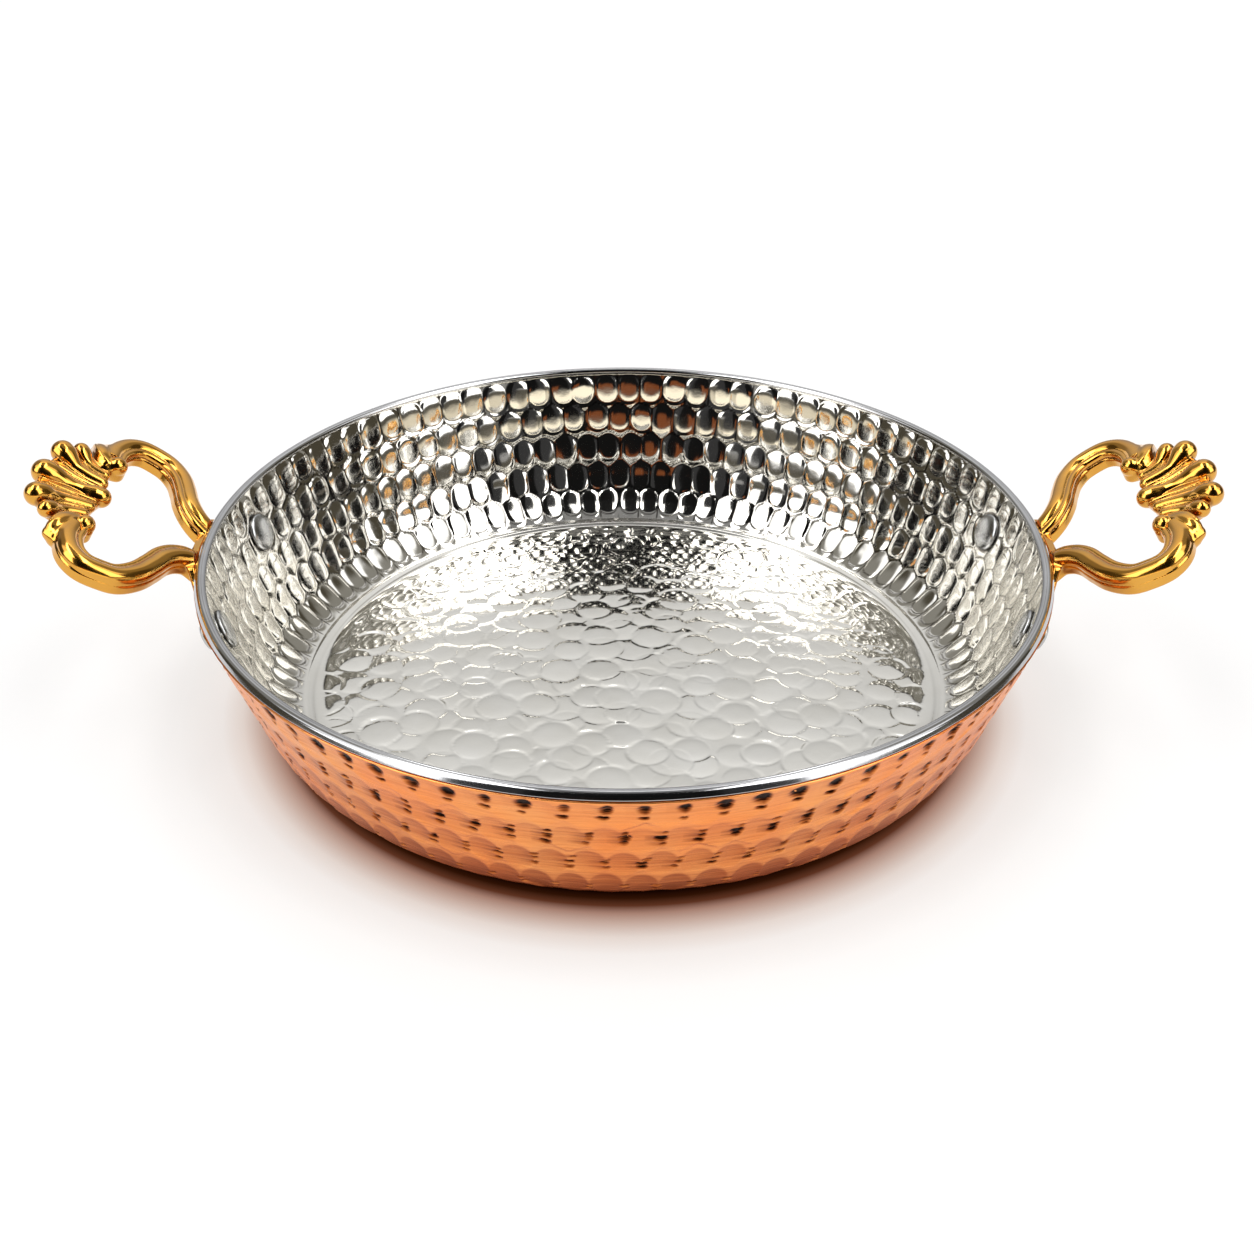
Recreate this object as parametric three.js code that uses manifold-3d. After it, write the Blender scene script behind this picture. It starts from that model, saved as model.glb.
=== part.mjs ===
// Shallow two-handled hammered pan: a copper shell, a bright lining whose lip closes over the copper's edge,
// and two cast brass loop handles, each held by two rivets that go through plate, copper and lining.
// Millimetres, +Z up, +X along the handles. The pan rests on z = 0 and its axis is the Z axis.
import * as THREE from "three";
import { mergeVertices } from "three/addons/utils/BufferGeometryUtils.js";
import Module from "manifold-3d";

const wasm = await Module();
wasm.setup();

// Driving dimensions of the bowl
const rimRadius = 120;
const panHeight = 49.5;
const wallLean = THREE.MathUtils.degToRad(20);
const cornerRadius = 22;
const copperThickness = 1.2;
const liningThickness = 0.8;
const clearance = 0.3;

// The rolled lip and the raised line round the floor
const lipWidth = 3.8;
const lipHeight = 2;
const creaseHeight = 0.5;
const creaseWidth = 1.6;
const creaseTurn = THREE.MathUtils.degToRad(18);

// The handles
const handleTilt = THREE.MathUtils.degToRad(31);
const handleReach = 50.5;
const bellyHalfWidth = 33;
const rootStandOff = 1.4;
const rootDrop = 3.6;
const legWidth = 7.2;
const legThickness = 6.8;
const scrollRadius = 3.4;
const shellHalfWidth = 19.6;
const shellThickness = 3;
const largeLobeRadius = 3.6;
const smallLobeRadius = 2.8;
const knobRadius = 2.3;
const hubRadius = 3.2;
const leafRadius = 2.3;

// The plate that each handle is cast with, which hugs the wall
const plateThickness = 2.2;
const plateHalfWidth = 34;
const plateHeight = 17;
const plateWaist = 11;

// The rivets, whose inset is measured from the plate's ends
const rivetInset = 6.1;
const rivetDrop = 15;
const shankRadius = 2;
const innerHeadRadius = 5.6;
const innerHeadHeight = 1.9;
const outerHeadRadius = 4;
const outerHeadHeight = 2.2;

// How finely round shapes are divided, and how far a cutter runs past what it cuts
const bowlSides = 72;
const cornerSteps = 5;
const roundSides = 12;
const rivetSides = 16;
const capSteps = 4;
const legSteps = 26;
const overrun = 6;

// Finishes
const copper = new THREE.MeshStandardMaterial({ color: 0xd9764a, roughness: 0.32, metalness: 1 });
const brightMetal = new THREE.MeshStandardMaterial({ color: 0xcfcdc8, roughness: 0.22, metalness: 1 });
const brass = new THREE.MeshStandardMaterial({ color: 0xd9a02c, roughness: 0.16, metalness: 1 });
const rivetMetal = new THREE.MeshStandardMaterial({ color: 0xb4b4b4, roughness: 0.3, metalness: 1 });

// Places worked out from the dimensions
const lipUnderside = panHeight - lipHeight;
const copperTop = lipUnderside - clearance;
const liningOuterDepth = copperThickness + clearance;
const liningInnerDepth = liningOuterDepth + liningThickness;
const wallRadius = (z) => rimRadius - (lipUnderside - z) * Math.tan(wallLean);
const cornerCentre = wallRadius(cornerRadius) - cornerRadius / Math.cos(wallLean);
const cornerSweep = Math.PI / 2 - wallLean;
const rivetZ = panHeight - rivetDrop;
const rivetAngle = Math.asin((plateHalfWidth - rivetInset) / wallRadius(rivetZ));

// A closed mesh becomes a solid: vertices are merged by place, and triangles that fell flat are dropped.
function toSolid(geometry, matrix = new THREE.Matrix4()) {
  const placed = geometry.clone().applyMatrix4(matrix);
  placed.deleteAttribute("normal");
  placed.deleteAttribute("uv");
  const merged = mergeVertices(placed, clearance / 1000);
  const corners = merged.index.array;
  const kept = [];
  for (let i = 0; i < corners.length; i += 3) {
    const [a, b, c] = corners.slice(i, i + 3);
    if (a !== b && b !== c && c !== a) kept.push(a, b, c);
  }
  const vertProperties = new Float32Array(merged.attributes.position.array);
  return new wasm.Manifold(new wasm.Mesh({ numProp: 3, vertProperties, triVerts: new Uint32Array(kept) }));
}

function toGeometry(solid) {
  const mesh = solid.getMesh();
  const geometry = new THREE.BufferGeometry();
  geometry.setAttribute("position", new THREE.BufferAttribute(new Float32Array(mesh.vertProperties), 3));
  geometry.setIndex(Array.from(mesh.triVerts));
  geometry.computeVertexNormals();
  return geometry;
}

// A profile of radius and height turned about the Z axis. It runs upwards on its outer side.
function turned(profile, sides) {
  const geometry = new THREE.LatheGeometry(profile, sides);
  return geometry.rotateX(Math.PI / 2);
}

// A point of the corner between floor and wall, at a depth below the outer skin and a turn from straight down
function cornerPoint(depth, turn) {
  const radius = cornerRadius - depth;
  return new THREE.Vector2(cornerCentre + radius * Math.sin(turn), cornerRadius - radius * Math.cos(turn));
}

// The bowl's outline at a depth below the outer skin, from the axis along the floor, round the corner and up.
// A ridge on the corner is given by the turns of its two feet and its top, and by its height.
function bowlCurve(depth, topZ, ridge = { turns: [Infinity, Infinity, Infinity], height: 0 }) {
  const [footTurn, topTurn, farFootTurn] = ridge.turns;
  const steps = Array.from({ length: cornerSteps + 1 }, (_, i) => (cornerSweep * i) / cornerSteps);
  const before = steps.filter((turn) => turn < footTurn).map((turn) => cornerPoint(depth, turn));
  const after = steps.filter((turn) => turn > farFootTurn).map((turn) => cornerPoint(depth, turn));
  const rise = after.length
    ? [
        cornerPoint(depth, footTurn),
        cornerPoint(depth + ridge.height, topTurn),
        cornerPoint(depth, farFootTurn),
      ]
    : [];
  const top = new THREE.Vector2(wallRadius(topZ) - depth / Math.cos(wallLean), topZ);
  return [new THREE.Vector2(0, depth), ...before, ...rise, ...after, top];
}

// An arc of a profile round a centre, between two angles
function arc(centreR, centreZ, radius, from, to, steps) {
  const points = [];
  for (let i = 0; i <= steps; i++) {
    const angle = from + ((to - from) * i) / steps;
    points.push(new THREE.Vector2(centreR + radius * Math.cos(angle), centreZ + radius * Math.sin(angle)));
  }
  return points;
}

// A rivet stands at its own origin with its axis along Z, the copper's outer skin at z = 0, outside above it.
const innerSeat = -(liningInnerDepth + clearance);
const outerSeat = clearance + plateThickness + clearance;

// Where each rivet stands on the wall, by its azimuth
function rivetPlace(azimuth) {
  const place = new THREE.Matrix4().makeRotationZ(azimuth);
  place.multiply(new THREE.Matrix4().makeTranslation(wallRadius(rivetZ), 0, rivetZ));
  return place.multiply(new THREE.Matrix4().makeRotationY(Math.PI / 2 + wallLean));
}

const rivets = [
  { name: "rivet_right_rear", azimuth: rivetAngle },
  { name: "rivet_right_front", azimuth: -rivetAngle },
  { name: "rivet_left_rear", azimuth: Math.PI - rivetAngle },
  { name: "rivet_left_front", azimuth: Math.PI + rivetAngle },
];

// A low dome on a seat: its edge and its curve up to the axis, as a profile that runs outwards in z by sign
function headProfile(seat, radius, height, sign) {
  const points = [];
  for (let i = 0; i <= capSteps; i++) {
    const angle = ((Math.PI / 2) * i) / capSteps;
    points.push(new THREE.Vector2(radius * Math.cos(angle), seat + sign * height * Math.sin(angle)));
  }
  points[capSteps].x = 0;
  return points;
}

function rivetGeometry() {
  const innerHead = headProfile(innerSeat, innerHeadRadius, innerHeadHeight, -1).reverse();
  const outerHead = headProfile(outerSeat, outerHeadRadius, outerHeadHeight, 1);
  const shank = [new THREE.Vector2(shankRadius, innerSeat), new THREE.Vector2(shankRadius, outerSeat)];
  return turned([...innerHead, ...shank, ...outerHead], rivetSides);
}

// The four holes for the rivets, to be cut from whatever they pass through
function rivetHoles() {
  const length = outerSeat - innerSeat + overrun;
  const radius = shankRadius + clearance;
  const hole = new THREE.CylinderGeometry(radius, radius, length, rivetSides);
  hole.rotateX(Math.PI / 2);
  hole.translate(0, 0, (outerSeat + innerSeat) / 2);
  return rivets.map(({ azimuth }) => toSolid(hole, rivetPlace(azimuth)));
}

const drilled = (solid) => rivetHoles().reduce((body, hole) => body.subtract(hole), solid);

function copperShell() {
  const outside = bowlCurve(0, copperTop);
  const inside = bowlCurve(copperThickness, copperTop).reverse();
  return toGeometry(drilled(toSolid(turned([...outside, ...inside], bowlSides))));
}

// The lining: a thin bowl inside the copper, whose top turns out over the copper's edge as a rounded lip
function innerLining() {
  const halfCrease = creaseWidth / 2 / (cornerRadius - liningInnerDepth);
  const crease = {
    turns: [creaseTurn - halfCrease, creaseTurn, creaseTurn + halfCrease],
    height: creaseHeight,
  };
  const lipRound = lipHeight / 2;
  const lipMiddle = panHeight - lipRound;
  const outerEdge = arc(rimRadius - lipRound, lipMiddle, lipRound, -Math.PI / 2, Math.PI / 2, capSteps);
  const lipInside = rimRadius - lipWidth + lipRound;
  const innerEdge = arc(lipInside, lipMiddle, lipRound, Math.PI / 2, Math.PI, capSteps / 2);
  const outside = bowlCurve(liningOuterDepth, lipUnderside);
  const inside = bowlCurve(liningInnerDepth, lipUnderside, crease).reverse();
  return toGeometry(drilled(toSolid(turned([...outside, ...outerEdge, ...innerEdge, ...inside], bowlSides))));
}

// The room that the handles keep clear: the pan's outside, swollen by the clearance
function panRoom() {
  const wall = bowlCurve(-clearance, lipUnderside);
  const rim = wall[wall.length - 1].x;
  const top = panHeight + clearance;
  return toSolid(turned([...wall, new THREE.Vector2(rim, top), new THREE.Vector2(0, top)], bowlSides));
}

// In the handle's own frame X runs out along its plane, Y across it and Z up from it.
const handleFrame = new THREE.Matrix4()
  .makeRotationY(-handleTilt)
  .setPosition(rimRadius + rootStandOff, 0, panHeight - rootDrop);

// A leg's middle line, from inside the wall out round its belly to the scroll.
// Shares of the handle's reach, of the belly's half width and of the leg's thickness
const legShares = [
  [-0.13, 0.25, -0.35],
  [0.01, 0.275, 0],
  [0.09, 0.355, 0.12],
  [0.15, 0.485, 0.16],
  [0.19, 0.65, 0.12],
  [0.24, 0.82, 0.06],
  [0.32, 0.955, 0],
  [0.41, 1, 0],
  [0.505, 1, 0],
  [0.58, 0.915, 0],
  [0.622, 0.765, 0],
  [0.625, 0.61, 0],
];

function leg(side) {
  const points = legShares.map(
    ([out, across, rise]) =>
      new THREE.Vector3(out * handleReach, side * across * bellyHalfWidth, rise * legThickness),
  );
  const section = new THREE.Shape().absellipse(0, 0, legThickness / 2, legWidth / 2, 0, 2 * Math.PI);
  const extrudePath = new THREE.CatmullRomCurve3(points);
  const options = { steps: legSteps, curveSegments: roundSides / 2, bevelEnabled: false, extrudePath };
  return new THREE.ExtrudeGeometry(section, options);
}

// A limb with round ends that swells from one radius to another between two points
function club(from, to, fromRadius, toRadius) {
  const length = from.distanceTo(to);
  const start = arc(0, 0, fromRadius, -Math.PI / 2, 0, capSteps);
  const end = arc(0, length, toRadius, 0, Math.PI / 2, capSteps);
  start[0].x = 0;
  end[capSteps].x = 0;
  const direction = to.clone().sub(from).divideScalar(length);
  const turn = new THREE.Quaternion().setFromUnitVectors(new THREE.Vector3(0, 0, 1), direction);
  const geometry = turned([...start, ...end], roundSides);
  return geometry.applyQuaternion(turn).translate(from.x, from.y, from.z);
}

// The shell's ribs from their knobs at the hub to their lobes, in shares of the reach and the shell's half width
const middleRib = { knobShares: [0.57, 0], lobeShares: [0.928, 0] };
const largeRib = { knobShares: [0.605, 0.33], lobeShares: [0.893, 0.61] };
const smallRib = { knobShares: [0.625, 0.6], lobeShares: [0.79, 0.86] };

function rib({ knobShares, lobeShares }, side, innerRadius, outerRadius) {
  const place = ([out, across]) => new THREE.Vector3(out * handleReach, side * across * shellHalfWidth, 0);
  return club(place(knobShares), place(lobeShares), innerRadius, outerRadius);
}

// The web behind the ribs, a flat piece with an outline through the lobes
const webShares = [
  [0.57, 0],
  [0.6, 0.4],
  [0.63, 0.86],
  [0.79, 0.86],
  [0.87, 0.75],
  [0.925, 0.33],
  [0.93, 0],
];

function web() {
  const place = ([out, across]) => new THREE.Vector2(out * handleReach, across * shellHalfWidth);
  const half = webShares.map(place);
  const otherHalf = half.slice(1, -1).reverse().map(({ x, y }) => new THREE.Vector2(x, -y));
  const outline = new THREE.Shape([...half.reverse(), ...otherHalf.reverse()]);
  const geometry = new THREE.ExtrudeGeometry(outline, { depth: shellThickness, bevelEnabled: false });
  return geometry.translate(0, 0, -shellThickness / 2);
}

// The scroll's ball and the leaf that wraps the leg's end, in shares of the reach and the belly's half width
const scrollShares = [0.598, 0.53];
const leafShares = [0.64, 0.6];
const leafTipShares = [0.705, 0.735];

function scroll(side) {
  const place = ([out, across]) => new THREE.Vector3(out * handleReach, side * across * bellyHalfWidth, 0);
  const ball = new THREE.SphereGeometry(scrollRadius, roundSides, roundSides / 2 + 2);
  const centre = place(scrollShares);
  ball.translate(centre.x, centre.y, centre.z);
  return [ball, club(place(leafShares), place(leafTipShares), leafRadius, leafRadius)];
}

// The plate's outline, seen along X: two ears round the rivets and a deeper middle under the legs.
// Shares of its half width and of its height above its lower edge
function plateOutline() {
  const low = rivetZ - plateHeight / 2;
  const earRise = (plateHeight - plateWaist) / 2;
  const earShares = [
    [1, 0.5],
    [0.95, 0.76],
    [0.8, 0.87],
    [0.66, 0.8],
  ];
  const place = ([across, up]) => new THREE.Vector2(across * plateHalfWidth, low + up * plateHeight);
  const ear = earShares.map(place);
  const shoulder = new THREE.Vector2(plateHalfWidth / 2, copperTop - earRise);
  const crown = new THREE.Vector2(plateHalfWidth / 2 - earRise, copperTop);
  const above = [...ear, shoulder, crown];
  const mirrored = above.map(({ x, y }) => new THREE.Vector2(-x, y)).reverse();
  const foot = earShares
    .slice(1)
    .map(([across, up]) => place([across, 1 - up]))
    .reverse();
  const footMirrored = foot.map(({ x, y }) => new THREE.Vector2(-x, y)).reverse();
  return new THREE.Shape([...above, ...mirrored, ...footMirrored, ...foot]);
}

// The plate: the outline, cut out of a ring that lies round the wall
function plate() {
  const skin = bowlCurve(-clearance, copperTop);
  const face = bowlCurve(-clearance - plateThickness, copperTop);
  const innerWall = skin.slice(-2);
  const outerWall = face.slice(-2);
  const ring = toSolid(turned([...outerWall, ...innerWall.reverse(), outerWall[0]], bowlSides));
  const outline = new THREE.ExtrudeGeometry(plateOutline(), { depth: rimRadius + plateThickness + overrun });
  const towardsX = new THREE.Matrix4().makeBasis(
    new THREE.Vector3(0, 1, 0),
    new THREE.Vector3(0, 0, 1),
    new THREE.Vector3(1, 0, 0),
  );
  return ring.intersect(toSolid(outline, towardsX));
}

// One casting: the plate, two legs with their scrolls, and the shell of five ribs on its web
function handle() {
  const limbs = [
    rib(middleRib, 1, hubRadius, largeLobeRadius),
    web(),
  ];
  for (const side of [1, -1]) {
    limbs.push(leg(side), ...scroll(side));
    limbs.push(rib(largeRib, side, knobRadius, largeLobeRadius));
    limbs.push(rib(smallRib, side, knobRadius, smallLobeRadius));
  }
  const casting = limbs.map((limb) => toSolid(limb, handleFrame)).reduce((body, limb) => body.add(limb));
  return toGeometry(drilled(casting.subtract(panRoom()).add(plate())));
}

function named(name, geometry, material) {
  const mesh = new THREE.Mesh(geometry, material);
  mesh.name = name;
  return mesh;
}

const pan = new THREE.Group();
pan.add(named("copper_shell", copperShell(), copper));
pan.add(named("inner_lining", innerLining(), brightMetal));

// The handle is alike on both sides of its middle, so the left one is the right one turned half way round.
const handleShape = handle();
pan.add(named("handle_right", handleShape, brass));
const handleLeft = named("handle_left", handleShape, brass);
handleLeft.rotation.z = Math.PI;
pan.add(handleLeft);

const rivetShape = rivetGeometry();
for (const { name, azimuth } of rivets) {
  const rivet = named(name, rivetShape, rivetMetal);
  rivet.applyMatrix4(rivetPlace(azimuth));
  pan.add(rivet);
}

export default pan;
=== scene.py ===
import math

import bpy
import numpy as np
import openvdb
from mathutils import Matrix, Vector


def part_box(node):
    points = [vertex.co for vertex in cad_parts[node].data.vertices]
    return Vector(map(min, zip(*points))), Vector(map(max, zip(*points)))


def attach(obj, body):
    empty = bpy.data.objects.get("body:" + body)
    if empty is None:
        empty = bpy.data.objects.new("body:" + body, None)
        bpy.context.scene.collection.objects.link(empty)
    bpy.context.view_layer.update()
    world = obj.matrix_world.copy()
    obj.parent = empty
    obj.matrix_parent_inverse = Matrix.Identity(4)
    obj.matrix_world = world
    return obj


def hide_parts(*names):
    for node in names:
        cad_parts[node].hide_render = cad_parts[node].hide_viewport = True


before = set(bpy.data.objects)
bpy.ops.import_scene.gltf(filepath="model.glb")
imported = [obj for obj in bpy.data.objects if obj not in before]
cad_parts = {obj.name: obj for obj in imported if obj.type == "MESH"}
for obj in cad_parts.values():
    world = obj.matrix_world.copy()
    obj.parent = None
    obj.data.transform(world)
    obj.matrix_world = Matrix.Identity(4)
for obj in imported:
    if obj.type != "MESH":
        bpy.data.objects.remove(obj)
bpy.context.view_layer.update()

MM = 0.001
SEED = 11
LEVEL_STRAY = 0.03
TILT_STRAY = 1.3

# Sizes of the bowl, the outer two from the frame
RIM_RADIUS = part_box("inner_lining")[1].x / MM
PAN_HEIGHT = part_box("inner_lining")[1].z / MM
WALL_LEAN = math.radians(20)
CORNER_RADIUS = 22
COPPER_THICKNESS = 1.2
LINING_THICKNESS = 0.8
CLEARANCE = 0.3
LIP_WIDTH = 3.8
LIP_HEIGHT = 2

LIP_UNDERSIDE = PAN_HEIGHT - LIP_HEIGHT
COPPER_TOP = LIP_UNDERSIDE - CLEARANCE
LINING_OUTER_DEPTH = COPPER_THICKNESS + CLEARANCE
LINING_INNER_DEPTH = LINING_OUTER_DEPTH + LINING_THICKNESS
CORNER_SWEEP = math.pi / 2 - WALL_LEAN
FAR = 8.0
TINY = 1e-30
SKIN_OUTER = 0
SKIN_INNER = 1
SKIN_EDGE = 2


def wall_radius(z):
    return RIM_RADIUS - (LIP_UNDERSIDE - z) * math.tan(WALL_LEAN)


CORNER_CENTRE = wall_radius(CORNER_RADIUS) - CORNER_RADIUS / math.cos(WALL_LEAN)


def new_piece(name, points, faces):
    mesh = bpy.data.meshes.new(name)
    mesh.from_pydata((np.asarray(points, float) * MM).tolist(), [], faces)
    mesh.shade_smooth()
    piece = bpy.data.objects.new(name, mesh)
    bpy.context.scene.collection.objects.link(piece)
    return piece


def add_attribute(piece, name, values):
    layer = piece.data.attributes.new(name, "FLOAT", "POINT")
    layer.data.foreach_set("value", np.asarray(values, np.float32))


def smoothstep(low, high, value):
    share = np.clip((value - low) / (high - low), 0, 1)
    return share * share * (3 - 2 * share)


# Surfaces of revolution, whose rings may halve their number of points from one to the next
class Rings:
    """Rings from the axis out and back, each with a radius, height, normal, arc length, skin and count.

    A ring on the axis is a single point.
    """

    def __init__(self):
        self.rows = []

    def add(self, radius, height, normal, run, skin, count):
        self.rows.append((radius, height, *normal, run, skin, 1 if radius == 0 else count))

    def arrays(self):
        table = np.array(self.rows, float)
        counts = table[:, -1].astype(int)
        ring = np.repeat(np.arange(len(counts)), counts)
        starts = np.concatenate([[0], np.cumsum(counts)])[:-1]
        step = np.arange(counts.sum()) - starts[ring]
        turn = 2 * math.pi * step / counts[ring]
        return table[ring], turn, starts, counts

    def piece(self, name, displace, attributes=()):
        rows, turn, starts, counts = self.arrays()
        radius, height, normal_r, normal_z, run, skin, _ = rows.T
        shift, layers = displace(turn, run, radius, skin)
        out = radius + shift * normal_r
        points = np.c_[out * np.cos(turn), out * np.sin(turn), height + shift * normal_z]
        faces = []
        for ring in range(len(counts) - 1):
            faces += strip(starts[ring], counts[ring], starts[ring + 1], counts[ring + 1])
        piece = new_piece(name, points, faces)
        for layer in attributes:
            add_attribute(piece, layer, layers[layer])
        return piece


def strip(a, n, b, m):
    """Faces between a ring of n points that starts at a and the next, of m points, that starts at b."""
    i = np.arange(max(n, m) if min(n, m) == 1 else min(n, m))
    j = (i + 1) % len(i)
    if n == 1:
        return np.c_[np.full(m, a), b + j, b + i].tolist()
    if m == 1:
        return np.c_[a + i, a + j, np.full(n, b)].tolist()
    if n == m:
        return np.c_[a + i, a + j, b + j, b + i].tolist()
    if n < m:
        triangles = np.c_[a + i, b + 2 * i + 1, b + 2 * i].tolist()
        return triangles + np.c_[a + i, a + j, b + (2 * i + 2) % m, b + 2 * i + 1].tolist()
    triangles = np.c_[a + 2 * i, a + 2 * i + 1, b + i].tolist()
    return triangles + np.c_[a + 2 * i + 1, a + (2 * i + 2) % n, b + j, b + i].tolist()


def bowl_line(depth, top_z, floor_step, wall_step):
    """The bowl's outline at a depth below its outer skin: radius, height, outward normal and arc length."""
    corner = CORNER_RADIUS - depth
    line = []
    for run in np.arange(0, CORNER_CENTRE, floor_step):
        line.append((run, depth, (0, -1), run))
    steps = max(2, int(corner * CORNER_SWEEP / wall_step))
    for turn in np.linspace(0, CORNER_SWEEP, steps + 1):
        normal = (math.sin(turn), -math.cos(turn))
        place = (CORNER_CENTRE + corner * normal[0], CORNER_RADIUS + corner * normal[1])
        line.append((*place, normal, CORNER_CENTRE + corner * turn))
    low_r, low_z, normal, low_run = line[-1]
    length = (top_z - low_z) / math.cos(WALL_LEAN)
    steps = max(1, int(length / wall_step))
    for along in np.linspace(0, length, steps + 1)[1:]:
        radius = low_r + along * math.sin(WALL_LEAN)
        line.append((radius, low_z + along * math.cos(WALL_LEAN), normal, low_run + along))
    return line


def ring_count(radius, full, least_spacing):
    """The full count of a ring's points, halved while they would be closer than they need be."""
    count = full
    while count % 2 == 0 and 2 * math.pi * radius / count < least_spacing:
        count //= 2
    return count


# Hammer marks
class MarkRows:
    """Staggered rows of marks round a wall, each a little out of place, size and lie.

    A positive overlap lays each row over the one above it. The lower half of a mark is flatter by ease.
    A mark is an ellipse where the power is 2, and squarer above.
    """

    def __init__(self, per_turn, top, pitch, tilts, stray, overlap, ease, power, seed):
        rng = np.random.default_rng(seed)
        shape = (len(tilts), per_turn)
        self.per_turn = per_turn
        self.centres = [top - pitch * (row + 0.5) for row in range(len(tilts))]
        self.half_height = pitch / 2
        self.overlap = overlap
        self.ease = ease
        self.power = power
        self.turn_stray = rng.normal(0, stray, shape) * 2 * math.pi / per_turn
        self.run_stray = rng.normal(0, stray, shape)
        self.size = 1 + rng.normal(0, stray, shape)
        self.level = rng.normal(0, LEVEL_STRAY, shape)
        self.side_tilt = np.tan(np.radians(rng.normal(0, TILT_STRAY, shape)))
        self.rise_tilt = np.tan(np.radians(rng.normal(0, TILT_STRAY, shape) - np.reshape(tilts, (-1, 1))))

    def cover(self, turn, run, radius, sharpness, profile):
        """For each point its covering mark's height and plane, how far up, right and out in it the point is,
        and how near to its edge."""
        total = np.full(len(turn), TINY)
        most = np.zeros(len(turn))
        height, plane, rise, right, outward = np.zeros((5, len(turn)))
        pitch = 2 * math.pi / self.per_turn
        half_width = radius * pitch / 2
        for row, centre in enumerate(self.centres):
            offset = 0.5 * (row % 2)
            base = np.round(turn / pitch - offset).astype(int)
            for neighbour in (-1, 0, 1):
                mark = (base + neighbour) % self.per_turn
                middle = (base + neighbour + offset) * pitch + self.turn_stray[row, mark]
                across = (turn - middle) * radius
                along = run - centre - self.run_stray[row, mark] * self.half_height
                aside = np.abs(across / half_width) ** self.power
                above = np.abs(along / self.half_height) ** self.power
                share = (aside + above) ** (2 / self.power)
                reach = np.sqrt(share) / self.size[row, mark] - self.overlap * row
                weight = np.exp(-sharpness * reach)
                most = np.maximum(most, weight)
                above *= np.where(along < 0, self.ease, 1)
                height += weight * profile((aside + above) ** (2 / self.power))
                rise += weight * along / self.half_height
                right += weight * across / half_width
                outward += weight * np.minimum(share, 4)
                lie = across * self.side_tilt[row, mark] + along * self.rise_tilt[row, mark]
                plane += weight * (lie + self.level[row, mark])
                total += weight
        edge = 2 * (1 - most / total)
        return height / total, plane / total, rise / total, right / total, outward / total, edge


# Scattered marks: points tried, least spacing in pitches, and how steeply a mark gives way past its edge
SCATTER_TRIES = 9000
SCATTER_LEAST = 0.78
SCATTER_FALL = 4.5


def scattered_centres(radius, pitch, seed):
    """Points spread unevenly over a disc, none nearer to another than a share of the pitch."""
    rng = np.random.default_rng(seed)
    kept = np.zeros((0, 2))
    for point in rng.uniform(-radius, radius, (SCATTER_TRIES, 2)):
        if np.hypot(*point) > radius:
            continue
        if len(kept) and np.hypot(*(kept - point).T).min() < pitch * SCATTER_LEAST:
            continue
        kept = np.vstack([kept, point])
    return kept


def cover_scattered(x, y, centres, half_sizes, orders, tilts, sharpness, profile):
    """Height of the scattered mark that covers each point, where marks of a higher order lie over others."""
    total = np.full(len(x), TINY)
    height = np.zeros(len(x))
    for (cx, cy), half, order, tilt in zip(centres, half_sizes, orders, tilts):
        close = np.abs(y - cy) < half * 2
        close[close] = np.abs(x[close] - cx) < half * 2
        share = ((x[close] - cx) ** 2 + (y[close] - cy) ** 2) / half ** 2
        weight = np.exp(sharpness * (order - SCATTER_FALL * np.maximum(np.sqrt(share) - 1, 0)))
        lie = ((x[close] - cx) * tilt[0] + (y[close] - cy) * tilt[1]) * (share < 1)
        height[close] += weight * (profile(share) + lie)
        total[close] += weight
    return height / total


def dome(power):
    """A low dome's height in shares of its own, by the squared distance from its middle."""
    return lambda share: 1 - np.clip(share, 0, 1) ** power


# The copper shell: rows of shallow hollow marks, each row over the one above, with pits where neighbours
# meet. A pit and the halo of painted shade round it are drawn out to the left.
COPPER_MARKS = 80
COPPER_POINTS = COPPER_MARKS * 22
COPPER_ROW_TOP = 148.9
COPPER_ROW_PITCH = 10.7
COPPER_ROWS = 5
COPPER_MARK_DEPTH = 0.4
COPPER_STRAY = 0.04
COPPER_OVERLAP = 0.24
COPPER_SHARPNESS = 20
COPPER_FOOT = (94, 100)
HOLLOW_POWER = 1.2
PIT_DEPTH = 0.8
PIT_DRAW = 0.55
PIT_POWER = 1.4
PIT_SWAY = 0.3
PIT_LIFT = 0.25
PIT_SIZES = (0.75, 1.15)
HALO_DRAW = PIT_DRAW / 2.6
HALO_HEIGHT = 0.75
HALO_DARKNESS = 0.32
HALO_SHADE = 0.85
COLLAR_STEP = 0.12
COLLAR_LINE = 0.15
COLLAR_LINE_WIDTH = 0.4
COLLAR_LINE_SHADE = 0.3

copper_rows = MarkRows(COPPER_MARKS, COPPER_ROW_TOP, COPPER_ROW_PITCH, [0] * COPPER_ROWS, COPPER_STRAY,
                       COPPER_OVERLAP, 1, 2, SEED)

# For each row the pits beside a mark: how far right and up, half width, half height, share of the depth
COPPER_PITS = (
    ((0.3, 2.5, 1.3, 1.95, 1.0), (0.0, -1.3, 0.95, 0.7, 0.85)),
    ((0.7, 2.7, 0.8, 0.7, 0.75), (0.4, 0.5, 1.0, 1.1, 1.0), (-0.1, -1.7, 0.95, 0.8, 0.9)),
    ((0.6, 1.6, 0.8, 0.6, 0.7), (0.3, -0.2, 0.9, 0.7, 0.85), (0.0, -2.1, 0.9, 0.65, 0.85)),
    ((0.2, -0.6, 0.8, 0.5, 0.7), (0.0, -2.4, 0.85, 0.5, 0.7)),
)
HALO_SHARES = (0.3, 1.0, 1.0, 0.8)


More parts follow.
